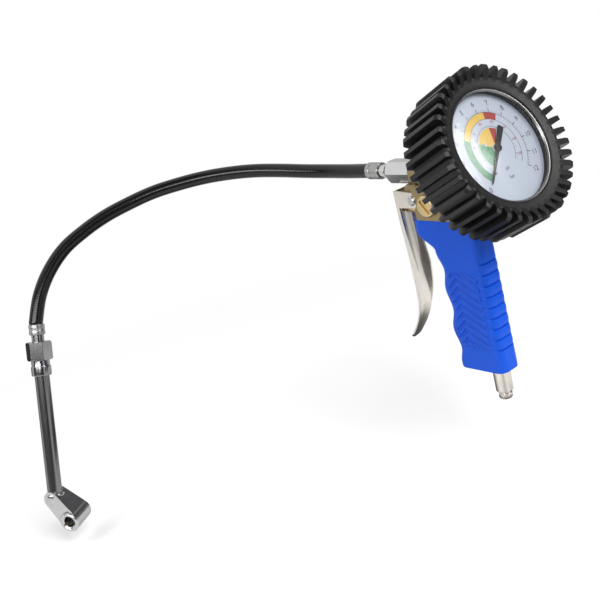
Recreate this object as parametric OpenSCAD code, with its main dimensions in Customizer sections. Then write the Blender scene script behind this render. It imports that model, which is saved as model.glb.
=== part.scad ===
// Pistol-grip tyre inflator with a boot-covered dial gauge, hose and dual-foot chuck.
// Frame: +X is the way the hose leaves, +Y is the left side, +Z is up, in millimetres.
// The origin lies on the air inlet's axis, at the lower end of its round collar.

/* [Grip] */
// Width of the grip across its two sides
grip_w = 19; // [18:0.5:24]
// Height of the grip's flat top above the inlet collar
grip_top_z = 124.5; // [110:0.5:140]
// Depth of the grooves across the back
groove_depth = 1; // [0.2:0.1:1.2]
// Spacing of the grooves
groove_pitch = 7.7; // [6:0.1:9]
// Height of the chevrons on the sides
chevron_rise = 0.8; // [0.2:0.1:1.2]
// Spacing of the chevrons
chevron_pitch = 6.2; // [5:0.1:8]

/* [Air inlet] */
// Radius of the inlet nipple's collar
nipple_r = 6; // [5:0.1:7]
// Length of the collar that shows below the grip
nipple_len = 16; // [8:0.5:18]
// Outside radius of the air tube in the grip
tube_r = 7; // [6:0.1:8]

/* [Valve and hose port] */
// Height of the hose axis above the inlet collar
barrel_z = 156; // [150:0.5:165]
// Half width of the valve body
body_hw = 10; // [9:0.25:12]
// Size of the hose adaptor's hexagon across its flats
hex_af = 15; // [13:0.5:19]
// Place of the lever pivot along the hose axis
pivot_x = 43.4; // [40:0.1:46]
// Height of the lever pivot
pivot_z = 137.3; // [135:0.1:140]
// Radius of the pivot pin
pin_r = 2; // [1.5:0.05:2.5]
// Height of the plunger's axis
plunger_z = 129; // [128:0.1:131]
// Radius of the plunger
plunger_r = 2.5; // [2:0.05:3]

/* [Lever] */
// Thickness of the lever's sheet
sheet = 1.2; // [1:0.1:1.6]
// Distance between the insides of the lever's cheeks
lever_in = 12; // [11.6:0.1:14]

/* [Gauge] */
// Lean of the dial from upright
tilt = 25; // [0:1:40]
// Radius of the boot's inner lip round the lens
lip_r = 37.5; // [35:0.5:40]
// Outside radius of the gauge case
case_r = 40; // [38:0.5:42]
// Height of the lens's dome
lens_dome = 3; // [0:0.25:4]
// Radius at the tips of the boot's lugs
boot_r = 52.5; // [50:0.5:56]
// Number of lugs round the boot
lugs = 40; // [30:2:48]
// Half angle of a lug at its tip
lug_tip = 1.6; // [1:0.1:2.5]
// Half angle of a lug at its root
lug_root = 3.4; // [2.5:0.1:4]
// Teeth on a full turn of the sector gear
sector_teeth = 72; // [60:12:96]
// Teeth on the pointer's pinion
pinion_teeth = 12; // [10:1:14]

/* [Hose] */
// Outside diameter of the hose
hose_d = 10.4; // [9:0.2:12]
// Bore of the hose
hose_bore = 6.6; // [5:0.2:7]

/* [Chuck] */
// Size of the hose coupling's hexagon across its flats
coupling_af = 17; // [15:0.5:19]
// Radius of the chuck's tube
chuck_tube_r = 5.5; // [4:0.1:6]
// Radius of each valve port
port_r = 4.2; // [4:0.05:4.5]
// Lean of the chuck from upright
chuck_lean = 18; // [0:1:30]

/* [Hidden] */
$fn = 64;

blue = [0.05, 0.2, 0.62];
black = [0.05, 0.05, 0.055];
brass = [0.72, 0.56, 0.26];
chrome = [0.8, 0.81, 0.83];
steel = [0.6, 0.61, 0.62];
rubber = [0.1, 0.1, 0.1];
white = [0.93, 0.94, 0.95];

grip_low = nipple_len + 0.5;
grip_edge = 0.5;
grip_front_r = 7;
grip_back_r = 6;
groove_low = 32.5;
grooves = 9;
groove_top = groove_low + grooves * groove_pitch;
chevron_x = 14.5;
gauge_at = [-37, 0, 172.8];
sector_y = -14;
tail_len = 9.2;
tail_way = -12.5;
link_at = [tail_len * cos(tail_way), sector_y + tail_len * sin(tail_way)];
link_len = 25;
link_way = 50;
seat_x = 26;
tip_x = 58.5;
chuck_at = [261.5, 202.2, 101.4];
chuck_turn = 115;
head_turn = 9.7;
head_z = -130.2;
head_lean = 16.8;
head_spin = 37.4;
head_arm = 20.8;
port_far = 11;

// Lever outline, x and z: the front face of its web from the top down to the curled tip
lever_front = [[60.4, 143.6], [60.3, 134], [60.2, 120], [59.2, 104], [58.7, 88], [58.8, 68],
    [61.4, 55], [67, 44], [75, 33.5], [79, 29.5]];
// The free rear edge of its cheeks, from below the ears down to where they run out
lever_rear = [[57.4, 131.6], [57.3, 126], [56.7, 118], [56, 110], [54.6, 100], [53.2, 90], [53.1, 82],
    [54.4, 72], [57, 63], [61, 54]];

// Front of the grip, as pairs of height and x at each swell and hollow
grip_front = [[grip_low, 29.6], [20, 29.8], [31, 27.4], [45.5, 31.3], [60, 27.9], [75, 31.2],
    [88, 28.8], [102, 33.4], [115, 47.3], [grip_top_z, 46.5]];

// Free run of the hose from the gun's ferrule to the chuck's
route = [[79, 0, 156], [87, 0, 156], [89, 0, 156], [107, 1, 156], [128, 4, 157], [147, 10, 159],
    [166, 18, 162], [184, 28, 165], [200, 40, 167], [215, 54, 168], [227, 70, 168], [238, 88, 167],
    [247, 106, 164], [254, 125, 160], [259, 144, 154], [263, 162, 146], [264.4, 178.4, 134],
    [263.8, 191.6, 119.8]];

function unit(v) = v / norm(v);

// Point on a smooth curve through four neighbouring points
function between(a, b, c, d, t) =
    0.5 * (2 * b + (c - a) * t + (2 * a - 5 * b + 4 * c - d) * t * t
        + (3 * b - a - 3 * c + d) * t * t * t);

// Smooth curve through a list of points, n steps a stretch
function curve(p, n) = [
    for (i = [0:len(p) - 2])
        for (k = [0:n - 1])
            between(p[max(i - 1, 0)], p[i], p[i + 1], p[min(i + 2, len(p) - 1)], k / n),
    p[len(p) - 1]
];

// Rolling value at height z through a list of swells and hollows
function swell(z, p, i = 0) =
    i >= len(p) - 2 || z < p[i + 1][0]
        ? let (t = min(max((z - p[i][0]) / (p[i + 1][0] - p[i][0]), 0), 1))
            p[i][1] + (p[i + 1][1] - p[i][1]) * (1 - cos(180 * t)) / 2
        : swell(z, p, i + 1);

// Smooth step from 0 at a to 1 at b
function ease(a, b, v) = let (t = min(max((v - a) / (b - a), 0), 1)) t * t * (3 - 2 * t);

function reversed(p) = [for (i = [len(p) - 1:-1:0]) p[i]];

// Two rows of triangles between neighbouring rings of n points
function band(a, b, n) = [
    for (j = [0:n - 1])
        for (t = [[a + j, a + (j + 1) % n, b + j], [a + (j + 1) % n, b + (j + 1) % n, b + j]]) t
];

// Closed wall of m outer rings and k inner rings of n points each
function wall_faces(m, k, n) = concat(
    [for (i = [0:m - 2]) each band(i * n, (i + 1) * n, n)],
    [for (i = [0:k - 2]) each band((m + i + 1) * n, (m + i) * n, n)],
    band(m * n, 0, n),
    band((m - 1) * n, (m + k - 1) * n, n)
);

// Ring of n points round p, square to the way t
function ring(p, t, r, n) =
    let (u = unit(cross(t, [-0.6, 0.3, 0.75])), v = cross(t, u))
    [for (j = [0:n - 1]) p + r * (u * cos(360 * j / n) + v * sin(360 * j / n))];

function along(p, i) = unit(p[min(i + 1, len(p) - 1)] - p[max(i - 1, 0)]);

// Places the children on the gauge: +Z out of the dial, +Y to its top
module at_gauge() {
    translate(gauge_at)
        rotate([0, tilt, 0])
            rotate([90, 0, -90])
                children();
}

// Places the children on the chuck: -Z runs down its tube from the end of the hose
module at_chuck() {
    translate(chuck_at)
        rotate([0, 0, chuck_turn])
            rotate([0, -chuck_lean, 0])
                children();
}

// Places the children on the chuck's head: +Z out of the near port, -X to the tube
module at_head() {
    at_chuck()
        translate([0, 0, head_z])
            rotate([0, 0, head_turn])
                rotate([0, 90 + head_lean, 0])
                    rotate([0, 0, head_spin])
                        translate([head_arm, 0, 0])
                            children();
}

// Lays a profile of x and z across the gun, from y = a to y = b
module across(a, b) {
    translate([0, b, 0])
        rotate([90, 0, 0])
            linear_extrude(b - a)
                children();
}

// Round bar along the hose axis
module bar(x0, x1, r, z, r2 = 0) {
    translate([x0, 0, z])
        rotate([0, 90, 0])
            cylinder(h = x1 - x0, r1 = r, r2 = r2 > 0 ? r2 : r);
}

// Hexagonal bar from z = 0 upward
module hex_bar(af, h) {
    cylinder(h = h, r = af / 2 / cos(30), $fn = 6);
}

// Heights of the grip's rings, close together at the edges of its grooves
grip_rows = concat(
    [grip_low, grip_low + grip_edge],
    [for (i = [1:9]) grip_low + (groove_low - grip_low) * i / 10],
    [for (k = [0:grooves - 1]) for (step = [0, 0.3, 1.1, 1.4, 2.9, 4.5, 6.1])
        groove_low + k * groove_pitch + step],
    [for (i = [0:11]) groove_top + (grip_top_z - grip_edge - groove_top) * i / 11],
    [grip_top_z]);

// Depth of the grooves at height z, from 0 to 1
function groove(z) =
    let (k = floor((z - groove_low) / groove_pitch), step = z - groove_low - k * groove_pitch)
    k < 0 || k >= grooves ? 0 : ease(0, 0.3, step) * (1 - ease(1.1, 1.4, step));

// Height of the chevrons at a place on the grip's side, from 0 to 1
function chevron(x, z, front) =
    let (
        drop = x < chevron_x ? (chevron_x - x) * 0.55 : (x - chevron_x) * 0.95,
        fold = 0.5 + 0.5 * cos(360 * (z + drop) / chevron_pitch)
    )
    ease(-4, -2, x) * (1 - ease(front - 9, front - 7, x)) * ease(34, 37, z) * (1 - ease(84, 90, z))
        * ease(0.3, 0.7, fold);

// Left half of the grip's ring at height z, from the middle of its front to the middle of its back
function grip_half(z) =
    let (
        cut = max(0, grip_low + grip_edge - z, z - grip_top_z + grip_edge),
        front = swell(z, grip_front) - cut,
        back = -8.6 - (grip_top_z - z) * 0.017 + cut,
        hw = grip_w / 2 - cut,
        side = front - grip_front_r - back - grip_back_r,
        dent = groove_depth * groove(z)
    )
    concat(
        [for (i = [0, 1]) [front, (hw - grip_front_r) * (i + 0.5) / 2, z]],
        [for (a = [0:22.5:90])
            [front - grip_front_r * (1 - cos(a)), hw - grip_front_r * (1 - sin(a)), z]],
        [for (i = [1:12])
            let (x = front - grip_front_r - side * i / 13)
            [x, hw + chevron_rise * chevron(x, z, front), z]],
        [for (a = [0:22.5:90])
            [back + grip_back_r * (1 - sin(a)) + dent * ease(20, 65, a),
                hw - grip_back_r * (1 - cos(a)) - dent * ease(0, 30, a) * 0.4, z]],
        [for (i = [1, 0]) [back + dent, (hw - grip_back_r) * (i + 0.5) / 2, z]]
    );

function grip_ring(z) =
    let (half = grip_half(z))
    concat(half, [for (p = reversed(half)) [p[0], -p[1], z]]);

module grip() {
    outer = [for (z = grip_rows) each grip_ring(z)];
    middle = grip_ring((grip_low + grip_top_z) / 2);
    inner = [for (z = [grip_low, grip_top_z]) for (p = middle)
        let (way = unit([p[0], p[1]])) [(tube_r + 0.2) * way[0], (tube_r + 0.2) * way[1], z]];
    faces = wall_faces(len(grip_rows), 2, len(middle));
    color(blue)
        polyhedron(concat(outer, inner), [for (f = faces) reversed(f)], convexity = 8);
}

module air_tube() {
    color(steel)
        rotate_extrude()
            polygon([[5.6, nipple_len + 1], [tube_r, nipple_len + 1], [tube_r, grip_top_z],
                [5.5, grip_top_z], [5.5, 133], [3.2, 133], [3.2, nipple_len + 14.5],
                [5.6, nipple_len + 14.5]]);
}

module inlet_nipple() {
    color(chrome)
        rotate_extrude()
            polygon([[2.6, -6], [4.1, -6], [4.8, -5], [4.8, -2.2], [3.9, -1.5], [3.9, -0.4], [nipple_r, 0],
                [nipple_r, nipple_len], [5.5, nipple_len], [5.5, nipple_len + 11.5],
                [2.6, nipple_len + 11.5]]);
}

module inlet_seal() {
    color(rubber)
        rotate_extrude()
            polygon([[5.55, nipple_len + 0.05], [6.6, nipple_len + 0.05], [6.6, nipple_len + 0.95],
                [5.55, nipple_len + 0.95]]);
}

// Side shape of the valve body's block
module body_side() {
    polygon([[-8.5, grip_top_z], [40, grip_top_z], [40, 147], [14, 153], [5, 148], [-8.5, 126.5]]);
}

module pivot_lug_side() {
    polygon([[36, 133.3], [pivot_x, 133.3], [47.4, pivot_z], [50, 142], [50, 146], [48, 148], [36, 148]]);
    translate([pivot_x, pivot_z])
        circle(4);
}

module valve_body() {
    color(brass)
        difference() {
            union() {
                across(-body_hw, body_hw)
                    body_side();
                across(-5.7, 5.7)
                    pivot_lug_side();
                bar(12, 40, 10, barrel_z);
                at_gauge()
                    translate([0, 0, -68])
                        cylinder(h = 16, r = 9.5);
            }
            // spot face under the gauge stem's hexagon
            at_gauge()
                translate([0, 0, -52])
                    cylinder(h = 30, r = 9);
            // room for the lever's ears
            for (y = [-body_hw - 1, 5.75])
                across(y, y + body_hw - 4.75)
                    translate([pivot_x, pivot_z])
                        circle(6.1);
            // hose port and its thread
            bar(29.5, 41, 6.5, barrel_z);
            bar(20, 30, 3, barrel_z);
            // plunger guide, stem passage, valve chamber and inlet way
            bar(36, 41, 3.55, plunger_z);
            bar(28.8, 37, plunger_r + 0.05, plunger_z);
            bar(seat_x - 0.5, 31, 2.3, plunger_z);
            bar(12, seat_x, 3.4, plunger_z);
            bar(0, 13, 2, plunger_z);
            cylinder(h = 133.5, r = 5.55);
            // rising way from the plunger to the hose port
            translate([28, 0, plunger_z])
                cylinder(h = barrel_z - plunger_z, r = 1.8);
            // gauge port
            at_gauge() {
                translate([0, 0, -65])
                    cylinder(h = 20, r = 5.55);
                translate([0, 0, -73])
                    cylinder(h = 12, r = 1.5);
            }
            // plug port in the left side
            translate([seat_x, 4.5, 135.5])
                rotate([-90, 0, 0])
                    cylinder(h = 20, r = 5.5);
            translate([seat_x, 0, 135.5])
                rotate([-90, 0, 0])
                    cylinder(h = 6, r = 1);
            // pivot pin
            translate([pivot_x, -20, pivot_z])
                rotate([-90, 0, 0])
                    cylinder(h = 40, r = pin_r + 0.02);
        }
}

module side_plug() {
    color(brass)
        translate([seat_x, 0, 135.5])
            rotate([-90, 0, 0])
                difference() {
                    rotate_extrude()
                        polygon([[0, 5], [5.45, 5], [5.45, body_hw + 1], [7.6, body_hw + 1],
                            [7.6, body_hw + 3.4], [6.8, body_hw + 4.2], [0, body_hw + 4.2]]);
                    translate([0, 0, body_hw + 4])
                        rotate([0, 0, -50])
                            cube([11, 2.6, 4], center = true);
                }
}

module side_plug_seal() {
    color(rubber)
        translate([seat_x, body_hw, 135.5])
            rotate([-90, 0, 0])
                difference() {
                    cylinder(h = 1, r = 6.9);
                    translate([0, 0, -1])
                        cylinder(h = 3, r = 5.5);
                }
}

module plunger_gland() {
    color(brass)
        difference() {
            union() {
                bar(37.5, 40, 3.5, plunger_z);
                bar(40, 44.5, 3.9, plunger_z);
            }
            bar(30, 60, plunger_r + 0.06, plunger_z);
        }
}

module plunger_seal() {
    color(rubber)
        difference() {
            bar(36.1, 37.4, 3.5, plunger_z);
            bar(30, 60, plunger_r + 0.05, plunger_z);
        }
}

// Coil spring along the valve chamber
module valve_spring() {
    n = 6;
    turns = 5;
    steps = turns * 12;
    path = [for (i = [0:steps])
        [12.8 + 7.4 * i / steps, 2.7 * cos(30 * i), plunger_z + 2.7 * sin(30 * i)]];
    pts = [for (i = [0:steps]) each spring_ring(path, i, 0.4, n)];
    last = steps * n;
    color(steel)
        polyhedron(pts, concat(
            [for (i = [0:steps - 1]) each band(i * n, (i + 1) * n, n)],
            [for (j = [1:n - 2]) [0, j + 1, j]],
            [for (j = [1:n - 2]) [last, last + j, last + j + 1]]));
}

// Ring of the spring's wire, square to its path
function spring_ring(p, i, r, n) =
    let (t = along(p, i), u = unit(cross(t, [1, 0, 0])), v = cross(t, u))
    [for (j = [0:n - 1]) p[i] + r * (u * cos(360 * j / n) - v * sin(360 * j / n))];

module plunger() {
    color(brass)
        translate([0, 0, plunger_z])
            rotate([0, 90, 0])
                rotate_extrude()
                    polygon([[0, 20.4], [2.2, 20.4], [2.2, 23.6], [1.4, 23.6], [1.4, 30.5],
                        [plunger_r, 31.5], [plunger_r, tip_x - 1.6], [2.1, tip_x - 0.7],
                        [1.3, tip_x - 0.15], [0, tip_x]]);
}

module valve_disc() {
    color(rubber)
        difference() {
            bar(23.65, seat_x - 0.1, 3.1, plunger_z);
            bar(20, 30, 1.42, plunger_z);
        }
}

module pivot_pin() {
    color(steel)
        translate([pivot_x, 0, pivot_z])
            rotate([-90, 0, 0])
                rotate_extrude()
                    polygon([[0, -9.2], [2.4, -9.2], [3.2, -8.4], [3.2, -7.5], [pin_r, -7.5],
                        [pin_r, 7.5], [3.2, 7.5], [3.2, 8.4], [2.4, 9.2], [0, 9.2]]);
}

// Web of the lever, seen from the side
module lever_web() {
    front = curve(lever_front, 4);
    back = [for (i = [0:len(front) - 1])
        let (t = along(front, i)) front[i] + sheet * [t[1], -t[0]]];
    polygon(concat(front, reversed(back)));
}

// One cheek of the lever, seen from the side: ear round the pivot, then a narrowing wing
module lever_cheek() {
    front = [for (p = curve(lever_front, 4)) if (p[1] > 52) p + [-0.2, 0]];
    polygon(concat(front, reversed(curve(lever_rear, 4)), [[46.4, 131.6], [40, 139], [45.2, 142.9]]));
    translate([pivot_x, pivot_z])
        circle(5.6);
}

// Front outline of the lever, tapering to its round tip
module lever_face() {
    hw = lever_in / 2 + sheet;
    polygon(concat([[-5.2, 44], [-hw, 66], [-hw, 156], [hw, 156], [hw, 66], [5.2, 44]],
        [for (a = [0:-12:-180]) [4 * cos(a), 33 + 4 * sin(a)]]));
}

module lever() {
    hw = lever_in / 2 + sheet;
    color(chrome)
        difference() {
            intersection() {
                union() {
                    across(-hw, hw)
                        lever_web();
                    across(-hw, -hw + sheet)
                        lever_cheek();
                    across(hw - sheet, hw)
                        lever_cheek();
                }
                translate([30, 0, 0])
                    rotate([90, 0, 90])
                        linear_extrude(60)
                            lever_face();
            }
            translate([pivot_x, -20, pivot_z])
                rotate([-90, 0, 0])
                    cylinder(h = 40, r = pin_r + 0.06);
        }
}

module hose_adaptor() {
    color(chrome)
        translate([0, 0, barrel_z])
            rotate([0, 90, 0])
                difference() {
                    union() {
                        intersection() {
                            translate([0, 0, 41])
                                rotate([0, 0, 30])
                                    hex_bar(hex_af, 23);
                            rotate_extrude()
                                polygon([[0, 41], [7.6, 41], [8.8, 42], [8.8, 63], [7.6, 64], [0, 64]]);
                        }
                        rotate_extrude()
                            polygon([[0, 31], [6.45, 31], [6.45, 41.5], [6.2, 63.5], [6.2, 65], [4.6, 68.5],
                                [4.6, 74], [3, 74], [3, 85.5], [2.6, 86], [0, 86]]);
                    }
                    translate([0, 0, 20])
                        cylinder(h = 80, r = 2);
                }
}

module adaptor_seal() {
    color(rubber)
        difference() {
            bar(40, 41, 8, barrel_z);
            bar(30, 50, 6.5, barrel_z);
        }
}

module gauge_stem() {
    color(brass)
        at_gauge()
            difference() {
                union() {
                    translate([0, 0, -51])
                        hex_bar(14, 10.95);
                    translate([0, 0, -64])
                        cylinder(h = 13.5, r = 5.5);
                    translate([0, 0, -41])
                        cylinder(h = 4, r = 5.5);
                    translate([-6, -28.5, -37.9])
                        cube([12, 34.5, 8.9]);
                    translate([-6, -28.5, -30])
                        cube([12, 4, 13]);
                }
                translate([0, 0, -70])
                    cylinder(h = 36, r = 1.5);
            }
}

module stem_seal() {
    color(rubber)
        at_gauge()
            translate([0, 0, -52])
                difference() {
                    cylinder(h = 0.95, r = 8);
                    translate([0, 0, -1])
                        cylinder(h = 3, r = 5.55);
                }
}

// Outline of the boot's lugs: long and short bars take turns
module lug_outline() {
    polygon([
        for (i = [0:lugs - 1])
            let (a = 360 * i / lugs, tip = boot_r - (i % 2) * 1.2)
            each [
                41 * [cos(a - lug_root), sin(a - lug_root)],
                tip * [cos(a - lug_tip), sin(a - lug_tip)],
                tip * [cos(a + lug_tip), sin(a + lug_tip)],
                41 * [cos(a + lug_root), sin(a + lug_root)]
            ]
    ]);
}

module gauge_boot() {
    color(black)
        at_gauge()
            union() {
                intersection() {
                    translate([0, 0, -45])
                        linear_extrude(60)
                            lug_outline();
                    rotate_extrude($fn = 96)
                        polygon([[42.6, -32], [42.6, 1], [48.6, 4.8], [51, 4.6], [boot_r, 2.6],
                            [boot_r, -29.5], [50, -33]]);
                }
                rotate_extrude($fn = 96)
                    polygon([[lip_r, -0.9], [lip_r, 0], [38.2, 0.6], [44, 1.4], [46, 0.6], [46.6, -2],
                        [46.6, -31], [44.5, -34], [34, -34], [34, -31.1], [case_r + 0.02, -31.1],
                        [case_r + 0.02, -0.9]]);
            }
}

module gauge_case() {
    color(black)
        at_gauge()
            difference() {
                rotate_extrude($fn = 96)
                    polygon([[0, -40], [32, -40], [33, -39], [33, -31], [case_r, -31], [case_r, -1],
                        [38.5, -1], [38.5, -29.5], [31.5, -29.5], [31.5, -38], [0, -38]]);
                translate([0, 0, -45])
                    cylinder(h = 10, r = 5.55);
            }
}

module bezel() {
    color(chrome)
        at_gauge()
            rotate_extrude($fn = 96)
                polygon([[36, -1.7], [38.4, -1.7], [38.4, -1], [37.45, -0.95], [37.2, -0.5], [36.6, -0.6]]);
}

// Arc of the lens from its rim to its middle, with the rim at height z
function lens_arc(z) = [for (i = [8:-1:0])
    let (r = 35.6 * i / 8) [r, z + lens_dome * (1 - pow(r / 35.6, 2))]];

module lens() {
    color([0.85, 0.92, 0.95, 0.35])
        at_gauge()
            rotate_extrude($fn = 96)
                polygon(concat([[38.4, -3.4], [38.4, -1.75]], lens_arc(-1.75), reversed(lens_arc(-3.4))));
}

module lens_gasket() {
    color(rubber)
        at_gauge()
            rotate_extrude($fn = 96)
                polygon([[36.8, -5.95], [38.4, -5.95], [38.4, -3.45], [36.8, -3.45]]);
}

module dial_plate() {
    color(white)
        at_gauge()
            difference() {
                translate([0, 0, -6.8])
                    cylinder(h = 0.8, r = 38.3, $fn = 96);
                translate([0, 0, -8])
                    cylinder(h = 4, r = 1.6);
                for (x = [-7.5, 7.5])
                    translate([x, 4.5, -8])
                        cylinder(h = 4, r = 0.75);
            }
}

module dial_screws() {
    color(steel)
        at_gauge()
            for (x = [-7.5, 7.5])
                translate([x, 4.5, 0])
                    rotate_extrude($fn = 24)
                        polygon([[0, -6.8], [0.7, -6.8], [0.7, -6], [1.3, -6], [1.1, -5.6], [0, -5.6]]);
}

module dial_posts() {
    color(brass)
        at_gauge()
            for (x = [-7.5, 7.5])
                translate([x, 4.5, -11.3])
                    cylinder(h = 4.5, r = 1.4);
}

module stop_pin() {
    color(steel)
        at_gauge()
            rotate([0, 0, 230])
                translate([18, 0, -6])
                    cylinder(h = 1.9, r = 0.45);
}

module bourdon_tube() {
    color(brass)
        at_gauge()
            union() {
                rotate([0, 0, 9])
                    rotate_extrude(angle = 246.5, $fn = 96)
                        translate([25.2, -25])
                            square([2.4, 7]);
                rotate([0, 0, 9])
                    translate([24.6, -2.5, -26])
                        cube([3.6, 3.5, 9]);
                translate([-7.4, -27.2, -24.5])
                    cube([1.4, 2.2, 6]);
            }
}

// Flat link from the tube's tip to the tail of the sector
module tip_link() {
    color(steel)
        at_gauge()
            translate([0, 0, -16.4])
                difference() {
                    union() {
                        for (p = [[0, 0], link_len * [cos(link_way), sin(link_way)]])
                            translate(link_at + p)
                                cylinder(h = 0.8, r = 1.5);
                        translate(link_at)
                            rotate([0, 0, link_way])
                                translate([0, -0.8, 0])
                                    cube([link_len, 1.6, 0.8]);
                    }
                    for (p = [[0, 0], link_len * [cos(link_way), sin(link_way)]])
                        translate([link_at[0] + p[0], link_at[1] + p[1], -1])
                            cylinder(h = 3, r = 0.75);
                }
}

// Trapezoid teeth on a round root, from tooth a to tooth b of n
module teeth(n, r, a, b) {
    for (i = [a:b])
        rotate([0, 0, 360 * i / n])
            polygon([[r - 0.8, -0.3], [r + 0.26, -0.12], [r + 0.26, 0.12], [r - 0.8, 0.3]]);
}

module sector_gear() {
    r = 12;
    color(brass)
        at_gauge()
            translate([0, sector_y, -19])
                union() {
                    linear_extrude(2)
                        rotate([0, 0, 67.5]) {
                            teeth(sector_teeth, r, -7, 6);
                            intersection() {
                                difference() {
                                    circle(r - 0.4);
                                    circle(8.6);
                                }
                                polygon([[0, 0], [20, -15.4], [20, 13.2]]);
                            }
                            translate([0, -1.5])
                                square([9.5, 3]);
                        }
                    linear_extrude(1.4)
                        rotate([0, 0, tail_way])
                            translate([0, -1.1])
                                square([tail_len, 2.2]);
                    rotate([0, 0, tail_way])
                        translate([tail_len, 0, 0]) {
                            cylinder(h = 1.4, r = 1.5);
                            cylinder(h = 3.6, r = 0.7);
                        }
                    cylinder(h = 2, r = 2.4);
                    translate([0, 0, -9])
                        cylinder(h = 17.2, r = 0.9);
                }
}

module pointer_shaft() {
    color(steel)
        at_gauge() {
            translate([0, 0, -19.5])
                linear_extrude(3) {
                    circle(pinion_teeth / 6 - 0.4);
                    teeth(pinion_teeth, pinion_teeth / 6, 0, pinion_teeth - 1);
                }
            translate([0, 0, -28])
                cylinder(h = 23.7, r = 0.9);
        }
}

module pointer() {
    color(black)
        at_gauge()
            rotate([0, 0, 225])
                difference() {
                    union() {
                        translate([0, 0, -5])
                            linear_extrude(0.5)
                                polygon([[-16, -1.9], [-15, -2.1], [0, -1.4], [24, -0.5], [27, 0], [24, 0.5],
                                    [0, 1.4], [-15, 2.1], [-16, 1.9]]);
                        translate([0, 0, -5.4])
                            cylinder(h = 1.5, r = 2.6);
                    }
                    translate([0, 0, -7])
                        cylinder(h = 2.75, r = 0.92);
                }
}

// Flat spiral spring round the pointer's shaft
module hairspring() {
    turns = 3.5;
    steps = 84;
    spiral = [for (i = [0:steps]) let (a = 360 * turns * i / steps, r = 1.5 + 4 * i / steps)
        r * [cos(a), sin(a)]];
    outer = [for (i = [0:steps]) let (a = 360 * turns * i / steps, r = 1.75 + 4 * i / steps)
        r * [cos(a), sin(a)]];
    color(steel)
        at_gauge()
            translate([0, 0, -14.6])
                linear_extrude(1)
                    polygon(concat(spiral, reversed(outer)));
}

// Outline of the movement's plates
module plate_outline() {
    difference() {
        translate([-10, -23.5])
            square([20, 30.5]);
        circle(1);
        translate([0, sector_y])
            circle(1);
    }
}

module back_plate() {
    color(brass)
        at_gauge()
            translate([0, 0, -28.9])
                linear_extrude(1.5)
                    plate_outline();
}

module front_plate() {
    color(brass)
        at_gauge()
            translate([0, 0, -12.5])
                linear_extrude(1.2)
                    plate_outline();
}

module movement_pillars() {
    color(brass)
        at_gauge()
            for (p = [[-7.5, 4.5], [7.5, 4.5], [-7.5, -21.5], [7.5, -21.5]])
                translate([p[0], p[1], -27.4])
                    cylinder(h = 14.9, r = 1.5);
}

module ferrule(h) {
    rotate_extrude()
        polygon([[hose_d / 2 - 0.4, 0], [5.6, 0], [5.95, 0.5], [5.95, h - 5], [5.6, h - 4.4], [5.6, h - 3.8],
            [5.95, h - 3.2], [5.95, h - 0.6], [5.5, h], [hose_d / 2 - 0.4, h]]);
}

module front_ferrule() {
    color(steel)
        translate([74.05, 0, barrel_z])
            rotate([0, 90, 0])
                ferrule(12.95);
}

// Hose with its bore, drawn in where the ferrules grip it
module hose() {
    n = 12;
    p = curve(concat(route, [chuck_end(-2), chuck_end(0), chuck_end(7)]), 2);
    m = len(p);
    function tight(i) = i < 3 || i > m - 4 ? hose_d / 2 - 0.55 : hose_d / 2;
    outer = [for (i = [0:m - 1]) each ring(p[i], along(p, i), tight(i), n)];
    inner = [for (i = [0:m - 1]) each ring(p[i], along(p, i), hose_bore / 2, n)];
    color(rubber)
        polyhedron(concat(outer, inner), wall_faces(m, m, n), convexity = 8);
}

// Point d millimetres down the chuck's axis from the end of the hose
function chuck_end(d) = chuck_at + d * [sin(chuck_lean) * cos(chuck_turn),
    sin(chuck_lean) * sin(chuck_turn), -cos(chuck_lean)];

module rear_ferrule() {
    color(steel)
        at_chuck()
            translate([0, 0, -7.95])
                ferrule(7.95);
}

module hose_coupling() {
    color(chrome)
        at_chuck()
            difference() {
                union() {
                    intersection() {
                        translate([0, 0, -27])
                            hex_bar(coupling_af, 14);
                        rotate_extrude()
                            polygon([[0, -27], [8.6, -27], [10, -26], [10, -14.2], [8.6, -13], [0, -13]]);
                    }
                    translate([0, 0, -14])
                        cylinder(h = 6, r = 4.6);
                    translate([0, 0, -9])
                        cylinder(h = 8.5, r = 3);
                }
                translate([0, 0, -30])
                    cylinder(h = 60, r = 2);
                translate([0, 0, -30])
                    cylinder(h = 10, r = chuck_tube_r + 0.05);
            }
}

module coupling_collar() {
    color(chrome)
        at_chuck()
            rotate_extrude()
                polygon([[chuck_tube_r + 0.03, -38.6], [6.9, -38.6], [7.4, -38], [7.4, -32], [6.8, -31],
                    [6.8, -27.05], [chuck_tube_r + 0.03, -27.05]]);
}

module chuck_tube() {
    color(chrome)
        at_chuck()
            rotate_extrude()
                polygon([[3, head_z - 3], [chuck_tube_r, head_z - 3], [chuck_tube_r, -20.1], [3, -20.1]]);
}

// Outline of the head's web along the ports: round there, narrower at the tube
module web_outline() {
    a = acos(1.2 / head_arm);
    polygon(concat([for (i = [-8:8]) 7.6 * [cos(a * i / 8), sin(a * i / 8)]],
        [for (i = [0:16]) let (t = a + (360 - 2 * a) * i / 16) [6.4 * cos(t) - head_arm, 6.4 * sin(t)]]));
}

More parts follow.
